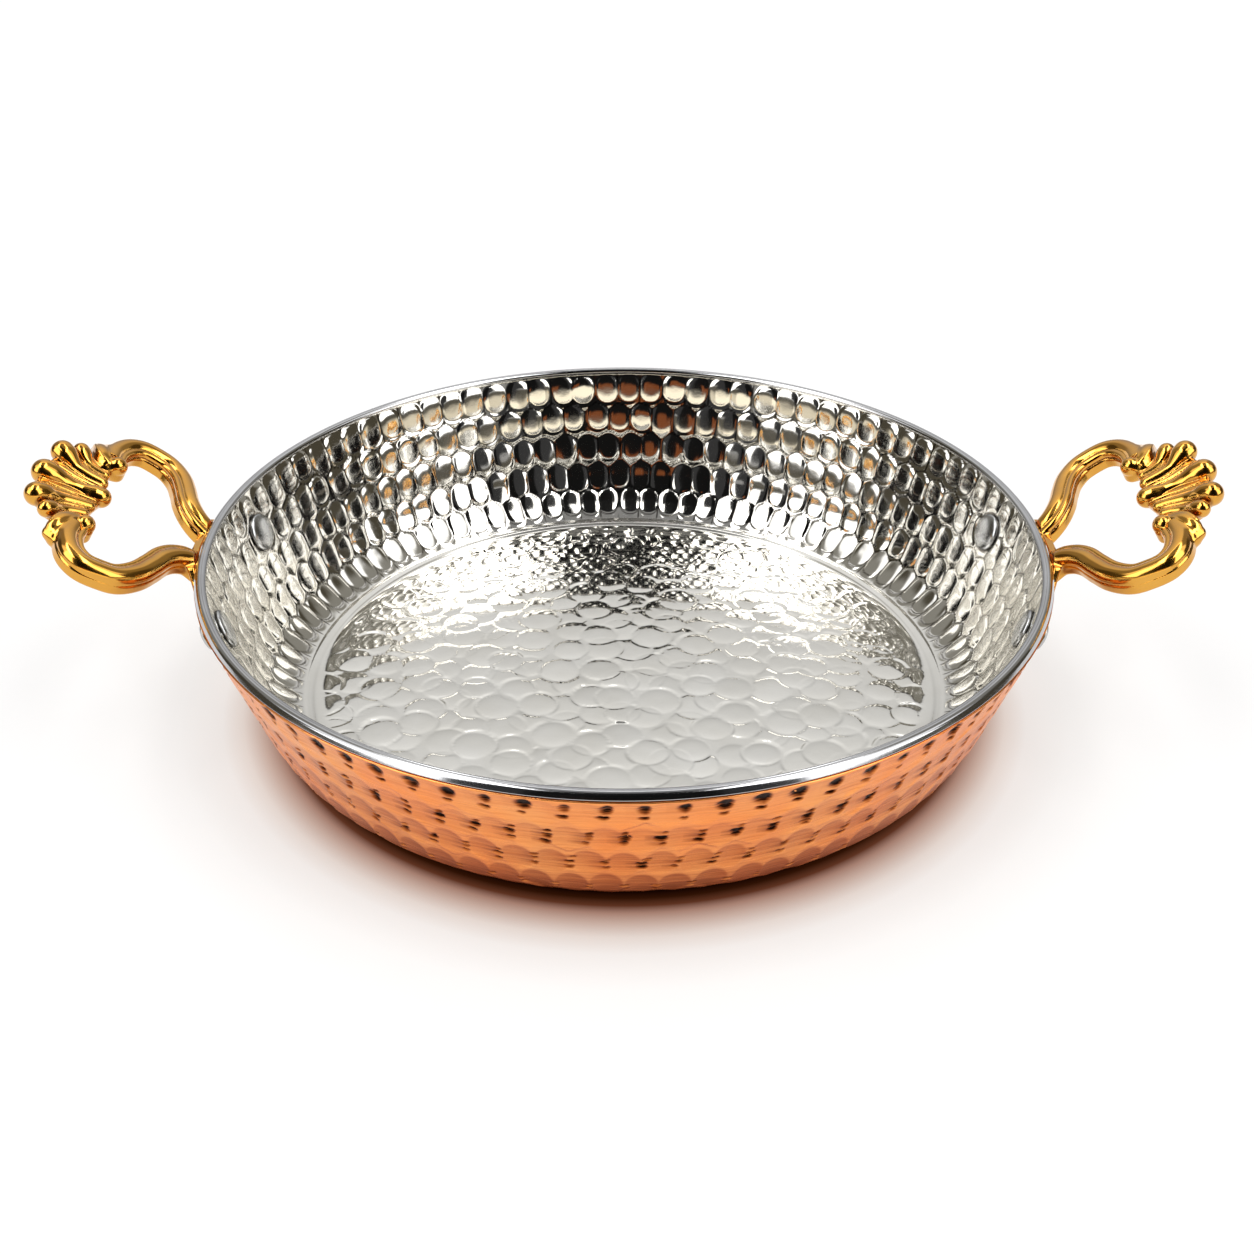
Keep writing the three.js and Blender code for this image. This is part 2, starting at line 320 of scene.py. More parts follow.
def copper_pits(turn, run, radius):
    """Depth share of the pits beside each mark, and their halos."""
    rng = np.random.default_rng(SEED + 1)
    pitch = 2 * math.pi / COPPER_MARKS
    depth = np.zeros(len(turn))
    halo = np.zeros(len(turn))
    for row, (spots, halo_share) in enumerate(zip(COPPER_PITS, HALO_SHARES)):
        offset = 0.5 * (row % 2) + 0.5
        mark = np.round(turn / pitch - offset).astype(int)
        across = (turn - (mark + offset) * pitch) * radius
        mark %= COPPER_MARKS
        for right, up, half_width, half_height, share in spots:
            sway = rng.normal(0, PIT_SWAY, COPPER_MARKS)
            lift = rng.normal(0, PIT_LIFT, COPPER_MARKS)
            size = rng.uniform(*PIT_SIZES, COPPER_MARKS)
            dx = (across - right - sway[mark]) / half_width
            dy = (run - copper_rows.centres[row] - up - lift[mark]) / half_height
            drawn = np.where(dx < 0, PIT_DRAW, 1) * dx
            reach = (drawn ** 2 + dy ** 2) / size[mark] ** 2
            depth = np.maximum(depth, share * size[mark] * np.exp(-reach ** PIT_POWER))
            wide = np.where(dx < 0, HALO_DRAW, 1) * dx
            halo = np.maximum(halo, halo_share * share * np.exp(-wide ** 2 - (HALO_HEIGHT * dy) ** 2))
    return depth, halo


def hollow(share):
    """A shallow hollow's height by the squared distance from its middle, level beyond its edge."""
    return np.clip(share, 0, 1) ** HOLLOW_POWER - 1


def displace_copper(turn, run, radius, skin):
    outer = skin == SKIN_OUTER
    covered = copper_rows.cover(turn, run, np.maximum(radius, 1), COPPER_SHARPNESS, hollow)
    mark, plane, rise, right, outward, _ = covered
    above_foot = smoothstep(*COPPER_FOOT, run) * outer
    past_top = run - COPPER_ROW_TOP
    fade = above_foot * (1 - smoothstep(-0.8, 0.4, past_top))
    pit_and_shade, halo = copper_pits(turn, run, radius)
    # The pits, with a little of their halos, dent the metal; the same share is painted shade in its colour.
    pit_and_shade = np.maximum(pit_and_shade, HALO_DARKNESS * halo) * fade
    # A fine groove under the collar, also painted dark as shade.
    line = np.exp(-((past_top - 0.5) / COLLAR_LINE_WIDTH) ** 2) * outer
    shift = (COPPER_MARK_DEPTH * mark + np.minimum(plane, 0)) * fade
    shift -= PIT_DEPTH * smoothstep(0.1, 1, pit_and_shade) + COLLAR_LINE * line
    shift += COLLAR_STEP * (smoothstep(0.3, 0.9, past_top) - 1) * above_foot
    row = -past_top / COPPER_ROW_PITCH
    # Painted shade: each mark darker at its top and towards its right, more so in the lower rows.
    mark_shade = smoothstep(-1.4, 0.3, rise) * (1 - smoothstep(0.8, 1.1, outward)) * (0.75 + 0.25 * right)
    # The halos round the pits add brown painted shade.
    mark_shade = np.maximum(mark_shade * smoothstep(0.1, 2.9, row), HALO_SHADE * halo)
    return shift, {"mark_shade": mark_shade * fade, "pit_and_shade": pit_and_shade + COLLAR_LINE_SHADE * line}


# Steps along each skin's floor and wall, the least spacing of points round it, and the radius within which
# a hidden skin's rings have fewer points
COPPER_STEPS = (2.2, 0.42)
COPPER_FLOOR_RUN = 90
COPPER_FLOOR_SPACING = 0.7
COPPER_WALL_SPACING = 0.2
LINING_STEPS = (0.44, 0.48)
LINING_SPACING = 0.33
HIDDEN_STEPS = (6, 3)
COARSE_RADIUS = 30


def make_copper():
    rings = Rings()
    full = COPPER_POINTS
    for radius, height, normal, run in bowl_line(0, COPPER_TOP, *COPPER_STEPS):
        spacing = COPPER_FLOOR_SPACING if run < COPPER_FLOOR_RUN else COPPER_WALL_SPACING
        rings.add(radius, height, normal, run, SKIN_OUTER, ring_count(radius, full, spacing))
    inner = bowl_line(COPPER_THICKNESS, COPPER_TOP, *HIDDEN_STEPS)[::-1]
    counts = [full // 2, full // 4, full // 8]
    for step, (radius, height, normal, run) in enumerate(inner):
        count = counts[min(step, 2)] // (4 if radius < COARSE_RADIUS else 1)
        rings.add(radius, height, (-normal[0], -normal[1]), run, SKIN_INNER, count)
    return rings.piece("hammered_copper_shell", displace_copper, ("mark_shade", "pit_and_shade"))


# Sizes of the rivets and of the plates that they hold
PLATE_THICKNESS = 2.2
PLATE_HALF_WIDTH = 34
PLATE_HEIGHT = 17
PLATE_WAIST = 11
RIVET_INSET = 6.1
RIVET_DROP = 15
SHANK_RADIUS = 2
INNER_HEAD_RADIUS = 5.6
INNER_HEAD_HEIGHT = 1.5
OUTER_HEAD_RADIUS = 4
OUTER_HEAD_HEIGHT = 1.4
RIVET_Z = PAN_HEIGHT - RIVET_DROP
RIVET_ANGLE = math.asin((PLATE_HALF_WIDTH - RIVET_INSET) / wall_radius(RIVET_Z))
INNER_SEAT = -(LINING_INNER_DEPTH + CLEARANCE)
OUTER_SEAT = CLEARANCE + PLATE_THICKNESS + CLEARANCE


# The lining: rows of dimples on the wall, a plain band and a raised line round a floor of scattered dimples
LINING_MARKS = 93
LINING_POINTS = LINING_MARKS * 16
LINING_ROW_TOP = 145.2
LINING_ROW_PITCH = 9.75
LINING_MARK_HEIGHT = 0.38
LINING_STRAY = 0.045
LINING_OVERLAP = -0.2
LINING_EASE = 0.5
LINING_POWER = 2.35
LINING_SHARPNESS = 24
LINING_DOME = 1.7
LINING_ROW_TILTS = (-3.8, -2.4, 2.6, 2.2, -4.0)
FLOOR_RADIUS = 94
FLOOR_PITCH = 8.9
FLOOR_SIZES = (0.56, 0.7)
FLOOR_MARK_HEIGHT = 0.24
FLOOR_TILT = 0.075
FLOOR_SHARPNESS = 9
FLOOR_DOME = 1.5
FLOOR_END = (85, 90)
CREASE_RUN = 92.9
CREASE_WIDTH = 2.4
CREASE_EDGE = 0.55
CREASE_HEIGHT = 0.22
LIP_OUTSIDE = RIM_RADIUS - 0.4
UNDER_ROUND = 0.3
BEVEL_RADIUS = 1.6
BEVEL_LEAN = math.radians(30)
BEVEL_FACE = 0.9
LIP_GROOVE = 0.12
EDGE_HOLD = 0.1
LIP_RUN = 200
INSIDE_ROUND = 1.2

lining_rows = MarkRows(LINING_MARKS, LINING_ROW_TOP, LINING_ROW_PITCH, LINING_ROW_TILTS, LINING_STRAY,
                       LINING_OVERLAP, LINING_EASE, LINING_POWER, SEED + 2)
floor_centres = scattered_centres(FLOOR_RADIUS, FLOOR_PITCH, SEED + 3)
floor_sizes = np.random.default_rng(SEED + 4).uniform(*FLOOR_SIZES, len(floor_centres)) * FLOOR_PITCH
floor_orders = np.random.default_rng(SEED + 5).uniform(0, 1, len(floor_centres))
floor_tilts = np.random.default_rng(SEED + 6).normal(0, FLOOR_TILT, (len(floor_centres), 2))
floor_marks = (floor_centres, floor_sizes, floor_orders, floor_tilts)


def rivet_distance(turn, run, radius):
    """Distance along the wall to the nearest rivet."""
    corner_run = CORNER_CENTRE + (CORNER_RADIUS - LINING_INNER_DEPTH) * CORNER_SWEEP
    wall_foot = CORNER_RADIUS * (1 - math.sin(WALL_LEAN))
    rivet_run = corner_run + (RIVET_Z - wall_foot) / math.cos(WALL_LEAN)
    nearest = np.full(len(turn), FAR)
    for middle in (RIVET_ANGLE, math.pi - RIVET_ANGLE, math.pi + RIVET_ANGLE, 2 * math.pi - RIVET_ANGLE):
        nearest = np.minimum(nearest, np.hypot((turn - middle) * radius, run - rivet_run))
    return nearest


def displace_lining(turn, run, radius, skin):
    inner = skin == SKIN_INNER
    covered = lining_rows.cover(turn, run, np.maximum(radius, 1), LINING_SHARPNESS, dome(LINING_DOME))
    wall_height, plane, _, _, outward, edge = covered
    low = LINING_ROW_TOP - LINING_ROW_PITCH * len(LINING_ROW_TILTS)
    fade = smoothstep(low - 1.8, low - 1, run) * (1 - smoothstep(LINING_ROW_TOP, LINING_ROW_TOP + 1, run))
    within_mark = 1 - smoothstep(0.8, 1.2, outward)
    shift = (LINING_MARK_HEIGHT * wall_height + plane * within_mark) * fade * inner
    floor = np.zeros(len(turn))
    on_floor = inner & (run < FLOOR_END[1])
    x = radius[on_floor] * np.cos(turn[on_floor])
    y = radius[on_floor] * np.sin(turn[on_floor])
    floor[on_floor] = cover_scattered(x, y, *floor_marks, FLOOR_SHARPNESS, dome(FLOOR_DOME))
    shift += FLOOR_MARK_HEIGHT * floor * (1 - smoothstep(*FLOOR_END, run)) * inner
    off_crease = np.abs(run - CREASE_RUN) - CREASE_WIDTH / 2
    shift += CREASE_HEIGHT * smoothstep(CREASE_EDGE, -CREASE_EDGE, off_crease) * inner
    # Painted shade: dark lines in the valleys between the marks, and round the lowest ones.
    outline = np.exp(-((outward - 1.05) / 0.12) ** 2) * (run < low + 4)
    crevice_shade = np.maximum(1.2 * smoothstep(0.12, 0.7, edge), outline) * fade * inner
    from_head = rivet_distance(turn, run, radius) - INNER_HEAD_RADIUS
    flat = smoothstep(0.3, 1.6, from_head)
    shift = np.where(inner & (run > CREASE_RUN + 3), shift * flat, shift)
    # A ring of painted shade round each rivet's head.
    ring = np.exp(-((from_head - 0.25) / 0.4) ** 2) * inner
    crevice_shade = np.maximum(crevice_shade * flat, 1.3 * ring)
    return shift, {"crevice_shade": crevice_shade, "lip": (skin == SKIN_EDGE) * 1.0}


def make_lining():
    rings = Rings()
    full = LINING_POINTS
    for radius, height, normal, run in bowl_line(LINING_OUTER_DEPTH, LIP_UNDERSIDE, *HIDDEN_STEPS):
        count = full // 8 if radius > COARSE_RADIUS else full // 16
        rings.add(radius, height, normal, run, SKIN_OUTER, count)
    middle_r = LIP_OUTSIDE - BEVEL_FACE * math.sin(BEVEL_LEAN) - BEVEL_RADIUS * math.cos(BEVEL_LEAN)
    middle_z = PAN_HEIGHT - BEVEL_RADIUS
    face_normal = (math.cos(BEVEL_LEAN), math.sin(BEVEL_LEAN))
    low_z = middle_z + BEVEL_RADIUS * face_normal[1] - BEVEL_FACE * face_normal[0]
    lip = [(LIP_OUTSIDE - UNDER_ROUND, LIP_UNDERSIDE, (0.3, -0.95)), (LIP_OUTSIDE, low_z, face_normal)]
    held = (LIP_OUTSIDE - EDGE_HOLD * math.sin(BEVEL_LEAN), low_z + EDGE_HOLD * math.cos(BEVEL_LEAN))
    lip.append((*held, face_normal))
    for turn in np.linspace(BEVEL_LEAN, math.pi / 2, 12):
        normal = (math.cos(turn), math.sin(turn))
        lip.append((middle_r + BEVEL_RADIUS * normal[0], middle_z + BEVEL_RADIUS * normal[1], normal))
    lip.append((middle_r - LIP_GROOVE, PAN_HEIGHT - LIP_GROOVE, (0, 1)))
    lip.append((middle_r - 2 * LIP_GROOVE, PAN_HEIGHT, (0, 1)))
    for turn in np.linspace(math.pi / 2, math.pi, 8):
        normal = (math.cos(turn), math.sin(turn))
        place = (RIM_RADIUS - LIP_WIDTH + INSIDE_ROUND, PAN_HEIGHT - INSIDE_ROUND)
        lip.append((place[0] + INSIDE_ROUND * normal[0], place[1] + INSIDE_ROUND * normal[1], normal))
    counts = [full // 4, full // 2]
    for step, (radius, height, normal) in enumerate(lip):
        rings.add(radius, height, normal, LIP_RUN, SKIN_EDGE, counts[step] if step < 2 else full)
    for radius, height, normal, run in bowl_line(LINING_INNER_DEPTH, LIP_UNDERSIDE, *LINING_STEPS)[::-1]:
        back = (-normal[0], -normal[1])
        rings.add(radius, height, back, run, SKIN_INNER, ring_count(radius, full, LINING_SPACING))
    return rings.piece("hammered_bright_lining", displace_lining, ("crevice_shade", "lip"))


# The rivets
RIVET_POINTS = 64
HEAD_STEPS = 15
HEAD_FLATNESS = 0.7
HEAD_FULLNESS = 0.85


def make_rivet(name, azimuth):
    """A rivet with a flat-topped low head inside and a round head outside."""
    rings = Rings()
    for turn in np.linspace(math.pi / 2, 0, HEAD_STEPS):
        radius = 0 if turn == math.pi / 2 else INNER_HEAD_RADIUS * math.cos(turn) ** HEAD_FULLNESS
        height = INNER_SEAT - INNER_HEAD_HEIGHT * math.sin(turn) ** HEAD_FLATNESS
        rings.add(radius, height, (0, -1), 0, 0, RIVET_POINTS)
    for height in (INNER_SEAT, OUTER_SEAT):
        rings.add(SHANK_RADIUS, height, (1, 0), 0, 0, RIVET_POINTS)
    for turn in np.linspace(0, math.pi / 2, HEAD_STEPS):
        radius = 0 if turn == math.pi / 2 else OUTER_HEAD_RADIUS * math.cos(turn)
        height = OUTER_SEAT + OUTER_HEAD_HEIGHT * math.sin(turn)
        rings.add(radius, height, (0, 1), 0, 0, RIVET_POINTS)
    piece = rings.piece(name, lambda turn, *rest: (np.zeros(len(turn)), {}))
    place = Matrix.Rotation(azimuth, 4, "Z")
    place @= Matrix.Translation(Vector((wall_radius(RIVET_Z), 0, RIVET_Z)) * MM)
    place @= Matrix.Rotation(math.pi / 2 + WALL_LEAN, 4, "Y")
    piece.data.transform(place)
    return piece


# The handles are worked out as a distance field, so that their forms run into each other as a casting's do.
# Their own lengths run out from the wall, across to the front or rear and up, in the plane of the handle.
HANDLE_TILT = math.radians(31)
HANDLE_REACH = 50.5
BELLY = 33
HANDLE_ORIGIN = np.array([RIM_RADIUS + 1.4, 0, PAN_HEIGHT - 3.6])
HANDLE_OUT = np.array([math.cos(HANDLE_TILT), 0, math.sin(HANDLE_TILT)])
HANDLE_UP = np.array([-math.sin(HANDLE_TILT), 0, math.cos(HANDLE_TILT)])
LEG_THICKNESS = 6.8
GRID = 0.36

# Shares of the reach, of the belly's half width and of the leg's thickness
LEG_SHARES = ((-0.13, 0.25, -0.35), (0.01, 0.275, 0), (0.09, 0.355, 0.12), (0.15, 0.485, 0.16),
              (0.19, 0.65, 0.12), (0.24, 0.82, 0.06), (0.32, 0.955, 0), (0.41, 1, 0), (0.505, 1, 0),
              (0.58, 0.915, 0), (0.622, 0.765, 0), (0.625, 0.61, 0))

# The leg's section: places and radii of its two rolls, then its foot's place, half sizes and rounding
BROAD_ROLL = (-0.6, 0.4, 2.9)
NARROW_ROLL = (2.35, 1.2, 1.15)
LEG_FOOT = (-0.1, -1.6, 3.65, 1.75, 0.9)

# Samples between two knots of a line, points looked up at a time, and spacings of the lines' samples
KNOT_SAMPLES = 24
LINE_BLOCK = 60000
LINE_SPACING = 0.5
LEAF_SPACING = 0.4


def smooth_union(a, b, blend):
    share = np.clip(0.5 + 0.5 * (b - a) / blend, 0, 1)
    return b + (a - b) * share - blend * share * (1 - share)


def smooth_cut(a, b, blend):
    return -smooth_union(-a, -b, blend)


class Line:
    """A smooth line through knots, evenly sampled, with its directions."""

    def __init__(self, knots, spacing):
        knots = np.asarray(knots, float)
        ends = np.vstack([2 * knots[0] - knots[1], knots, 2 * knots[-1] - knots[-2]])
        fine = []
        for i in range(1, len(ends) - 2):
            p0, p1, p2, p3 = ends[i - 1:i + 3]
            for t in np.linspace(0, 1, KNOT_SAMPLES, endpoint=False):
                fine.append(0.5 * (2 * p1 + (p2 - p0) * t + (2 * p0 - 5 * p1 + 4 * p2 - p3) * t ** 2
                                   + (3 * p1 - p0 - 3 * p2 + p3) * t ** 3))
        fine.append(ends[-2])
        fine = np.array(fine)
        run = np.concatenate([[0], np.cumsum(np.linalg.norm(np.diff(fine, axis=0), axis=1))])
        self.count = max(4, int(run[-1] / spacing) + 1)
        even = np.linspace(0, run[-1], self.count)
        self.points = np.stack([np.interp(even, run, fine[:, k]) for k in range(3)], 1)
        self.step = run[-1] / (self.count - 1)
        self.share = even / run[-1]
        along = np.gradient(self.points, axis=0)
        self.along = along / np.linalg.norm(along, axis=1)[:, None]
        self.side = np.cross(self.along, [0, 0, 1])
        self.side /= np.linalg.norm(self.side, axis=1)[:, None]
        self.up = np.cross(self.side, self.along)

    def frame(self, place):
        """The point and the three directions at a place that is counted in samples."""
        low = np.minimum(place.astype(int), self.count - 2)
        share = (place - low)[:, None]
        tables = (self.points, self.along, self.side, self.up)
        return [table[low] * (1 - share) + table[low + 1] * share for table in tables]

    def nearest(self, points):
        """For each point the nearest place on the line, the offset from it and the directions there."""
        best = np.empty(len(points), int)
        reach = (self.points ** 2).sum(1)
        for start in range(0, len(points), LINE_BLOCK):
            block = points[start:start + LINE_BLOCK]
            best[start:start + LINE_BLOCK] = (reach - 2 * block @ self.points.T).argmin(1)
        place = best.astype(float)
        for _ in range(2):
            middle, along, _, _ = self.frame(place)
            ahead = ((points - middle) * along).sum(1)
            place = np.clip(place + ahead / self.step, 0, self.count - 1)
        middle, along, side, up = self.frame(place)
        return place, points - middle, along, side, up


def tube(line, radius, squash=1.0):
    """A round limb along a line, with a radius for each sample, flattened by squash."""
    def field(points):
        place, offset, _, _, up = line.nearest(points)
        rise = (offset * up).sum(1)
        flat = offset + ((1 / squash - 1) * rise)[:, None] * up
        return np.linalg.norm(flat, axis=1) - np.interp(place, np.arange(line.count), radius)

    return field


def circle(a, b, centre_a, centre_b, radius):
    return np.hypot(a - centre_a, b - centre_b) - radius


def rounded_box(a, b, centre_a, centre_b, half_a, half_b, rounding):
    da = np.abs(a - centre_a) - half_a + rounding
    db = np.abs(b - centre_b) - half_b + rounding
    outside = np.hypot(np.maximum(da, 0), np.maximum(db, 0))
    return outside + np.minimum(np.maximum(da, db), 0) - rounding


leg_line = Line(np.array(LEG_SHARES) * (HANDLE_REACH, BELLY, LEG_THICKNESS), LINE_SPACING)


def leg_field(points):
    """A moulded limb: a broad roll on the outer side, a narrow one inside, and a wider foot below."""
    _, offset, along, side, up = leg_line.nearest(points)
    a = (offset * side).sum(1)
    b = (offset * up).sum(1)
    ahead = (offset * along).sum(1)
    rolls = smooth_union(circle(a, b, *BROAD_ROLL), circle(a, b, *NARROW_ROLL), 0.3)
    section = smooth_union(rolls, rounded_box(a, b, *LEG_FOOT), 0.2)
    return np.maximum(section, np.abs(ahead) - leg_line.step)


RIB_BEND = np.array([0.52, 0.3, 0.5])


def rib_line(knob, lobe, dip):
    """A rib's middle line, which leaves the hub, dips, and turns out and up towards its lobe."""
    knob = np.array(knob, float)
    lobe = np.array(lobe, float)
    middle = knob + (lobe - knob) * RIB_BEND - np.array([0, 0, dip])
    return Line([knob, middle, lobe], LINE_SPACING)


def swell(line, start, waist, end):
    """A radius that runs from the start's bulb through a waist to the lobe."""
    share = line.share
    bulb = start + (waist - start) * smoothstep(0.08, 0.34, share)
    return bulb + (end - waist) * smoothstep(0.4, 0.93, share) ** 1.5


# Each rib's knob, lobe, and radii at its start, waist and end, then each ridge's two ends and radius
MIDDLE_RIB = ((29.5, 0, 0.4), (46.0, 0, 0.0), 2.9, 2.1, 3.65)
LARGE_RIB = ((31.0, 6.9, 0.4), (44.6, 12.7, 0.6), 1.7, 1.7, 3.4)
SMALL_RIB = ((31.4, 11.2, 0.5), (40.4, 17.3, 0.7), 1.35, 1.35, 2.5)
RIDGES = (((30.6, 3.4, 0.7), (43.4, 5.0, 0.7), 0.62), ((30.9, 4.9, 0.7), (42.9, 7.7, 0.7), 0.6),
          ((31.6, 8.9, 0.7), (41.8, 13.5, 0.7), 0.58), ((31.8, 9.9, 0.7), (39.6, 14.6, 0.7), 0.5))
RIB_DIP = 0.5
RIDGE_DIP = 0.3

# The web between the ribs
FAN = ((28.2, 0), (29.5, 5.8), (30.2, 11.8), (31.6, 17.2), (35.5, 18.8), (40.6, 17.6), (44.6, 13.4),
       (46.4, 7.0), (46.8, 0))
FAN_MIDDLE = -0.95
FAN_HALF_THICKNESS = 1.55
FAN_ROUNDING = 1.4


def polygon_field(x, y, corners):
    """Signed distance to a closed outline."""
    corners = np.asarray(corners, float)
    best = np.full(len(x), np.inf)
    inside = np.zeros(len(x), bool)
    for (ax, ay), (bx, by) in zip(corners, np.roll(corners, -1, axis=0)):
        ex, ey = bx - ax, by - ay
        px, py = x - ax, y - ay
        along = np.clip((px * ex + py * ey) / (ex * ex + ey * ey), 0, 1)
        best = np.minimum(best, (px - along * ex) ** 2 + (py - along * ey) ** 2)
        crosses = (ay > y) != (by > y)
        safe = ey if ey else 1.0
        inside ^= crosses & (px < ex * py / safe)
    return np.sqrt(best) * np.where(inside, -1, 1)


def fan_field(points):
    mirrored = [(u, -w) for u, w in FAN[-2:0:-1]]
    outline = polygon_field(points[:, 0], points[:, 1], [*FAN, *mirrored])
    slab = np.abs(points[:, 2] - FAN_MIDDLE) - FAN_HALF_THICKNESS
    return smooth_cut(outline, slab, FAN_ROUNDING)


def ribs():
    fields = []
    for knob, lobe, start, waist, end in (MIDDLE_RIB, LARGE_RIB, SMALL_RIB):
        line = rib_line(knob, lobe, RIB_DIP)
        fields.append((tube(line, swell(line, start, waist, end)), 0.25))
    for knob, lobe, radius in RIDGES:
        line = rib_line(knob, lobe, RIDGE_DIP)
        fields.append((tube(line, radius * (1.2 - 0.45 * line.share)), 0.15))
    return fields


SCROLL_CENTRE = (29.8, 18.0)
SCROLL_DRUM = (0, -0.7, 2.95, 2.5, 1.4)
BALL_CENTRE = np.array([29.6, 17.4, 1.4])
BALL_RADIUS = 2.8


def scroll_field(points):
    """An upright drum with a rounded top and a ball on it."""
    from_axis = circle(points[:, 0], points[:, 1], *SCROLL_CENTRE, 0)
    ball = np.linalg.norm(points - BALL_CENTRE, axis=1) - BALL_RADIUS
    return smooth_union(rounded_box(from_axis, points[:, 2], *SCROLL_DRUM), ball, 0.1)


LEAF_PATH = ((31.6, 16.6, 1.6), (33.0, 17.2, 2.0), (34.7, 19.0, 2.2), (35.9, 21.4, 1.8), (36.5, 23.4, 0.8))
LEAF_EDGE_RADIUS = 0.36
COLLAR_PATH = ((32.2, 16.8, -0.5), (33.8, 18.8, -0.2), (34.8, 21.8, -0.4), (34.4, 24.4, -1.2))
COLLAR_RADIUS = 3.3
TIP_PATH = ((36.0, 22.8, 0.6), (36.6, 24.6, -1.0))
TIP_RADIUS = 2.1


def leaf_parts():
    """A ribbon with raised edges that leaves the scroll, runs over the leg's end and hangs over its side."""
    middle = Line(LEAF_PATH, LEAF_SPACING)
    width = 1.15 + 0.85 * smoothstep(0.1, 0.6, middle.share)
    fields = [(tube(middle, width, 0.6), 0.25)]
    for side in (-1, 1):
        reach = (width - 0.35)[::4, None]
        edge = middle.points[::4] + middle.side[::4] * side * reach + middle.up[::4] * 0.5
        edge = Line(edge, LEAF_SPACING)
        fields.append((tube(edge, np.full(edge.count, LEAF_EDGE_RADIUS)), 0.25))
    collar = Line(COLLAR_PATH, LEAF_SPACING)
    fields.append((tube(collar, np.full(collar.count, COLLAR_RADIUS), 0.95), 1.0))
    tip = Line(TIP_PATH, LEAF_SPACING)
    fields.append((tube(tip, np.full(tip.count, TIP_RADIUS), 0.85), 0.5))
    return fields


# The base plate: one ear of the plate, in shares of its half width and height
PLATE_OUTLINE_SHARES = ((1, 0.5), (0.95, 0.76), (0.8, 0.87), (0.66, 0.8))


def plate_outline():
    low = RIVET_Z - PLATE_HEIGHT / 2
    rise = (PLATE_HEIGHT - PLATE_WAIST) / 2
    ear = [(across * PLATE_HALF_WIDTH, low + up * PLATE_HEIGHT) for across, up in PLATE_OUTLINE_SHARES]
    foot = [(y, 2 * low + PLATE_HEIGHT - z) for y, z in ear[1:]]
    crown = [(PLATE_HALF_WIDTH / 2, COPPER_TOP - rise), (PLATE_HALF_WIDTH / 2 - rise, COPPER_TOP)]
    right = ear + crown
    left = [(-y, z) for y, z in reversed(right)]
    return right + left + [(-y, z) for y, z in foot] + foot[::-1]


def wall_distance(points):
    """How far a point lies outside the copper's wall, measured square to it."""
    radius = np.hypot(points[:, 0], points[:, 1])
    wall = RIM_RADIUS - (LIP_UNDERSIDE - np.minimum(points[:, 2], LIP_UNDERSIDE)) * math.tan(WALL_LEAN)
    return (radius - wall) * math.cos(WALL_LEAN)


def plate_field(points):
    band = np.abs(wall_distance(points) - CLEARANCE - PLATE_THICKNESS / 2) - PLATE_THICKNESS / 2
    outline = polygon_field(points[:, 1], points[:, 2], plate_outline())
    return smooth_cut(np.maximum(band, points[:, 2] - COPPER_TOP), outline, 0.8)


BOX_MARGIN = 3.0


def within(points, low, high, field):
    """A field worked out only near a box, and taken as far away elsewhere."""
    near = ((points > np.array(low) - BOX_MARGIN) & (points < np.array(high) + BOX_MARGIN)).all(1)
    values = np.full(len(points), FAR)
    if near.any():
        values[near] = field(points[near])
    return values


rib_fields = ribs()
leaf_fields = leaf_parts()

# Boxes round the handle's parts, by two corners, the last two in the pan's own frame
LEG_BOX = ((-8, 4, -6), (36, 38, 6))
FAN_BOX = ((26, 0, -4), (50, 20, 4))
RIB_BOX = ((25, 0, -4), (51, 21, 5))
SCROLL_BOX = ((25, 13, -5), (36, 23, 6))
LEAF_BOX = ((25, 11, -5), (41, 31, 6))
PLATE_BOX = ((105, 0, 24), (124, 36, 50))
HANDLE_BOX = ((105.0, 0, 24.0), (167.0, 38.5, 76.0))


def handle_field(points):
    """Distance to the right handle's surface. Its two sides are alike, so only one is worked out."""
    points = points * np.array([1, 0, 1]) + np.abs(points) * np.array([0, 1, 0])
    from_origin = points - HANDLE_ORIGIN
    local = np.stack([from_origin @ HANDLE_OUT, from_origin[:, 1], from_origin @ HANDLE_UP], 1)
    body = within(local, *LEG_BOX, leg_field)
    shell = within(local, *FAN_BOX, fan_field)
    for field, blend in rib_fields:
        shell = smooth_union(shell, within(local, *RIB_BOX, field), blend)
    body = smooth_union(body, within(local, *SCROLL_BOX, scroll_field), 0.2)
    for field, blend in leaf_fields:
        body = smooth_union(body, within(local, *LEAF_BOX, field), blend)
    body = smooth_union(body, shell, 0.5)
    body = smooth_cut(body, CLEARANCE - wall_distance(points), 0.2)
    plate = within(points, *PLATE_BOX, plate_field)
    return smooth_union(body, plate, 1.0)


# Steps over which the field's slope is taken, for the surface's places and for its normals
PLACE_STEP = 0.03
NORMAL_STEP = 0.05
CAVITY_REACH = 1.5


def slope_at(points, step):
    """The handle's field's slope, from its values at the corners of a tetrahedron round each point."""
    corners = np.array([(1, -1, -1), (-1, -1, 1), (-1, 1, -1), (1, 1, 1)], float)
    total = np.zeros_like(points)
    for corner in corners:
        total += corner * handle_field(points + corner * step)[:, None]
    return total / (4 * step)


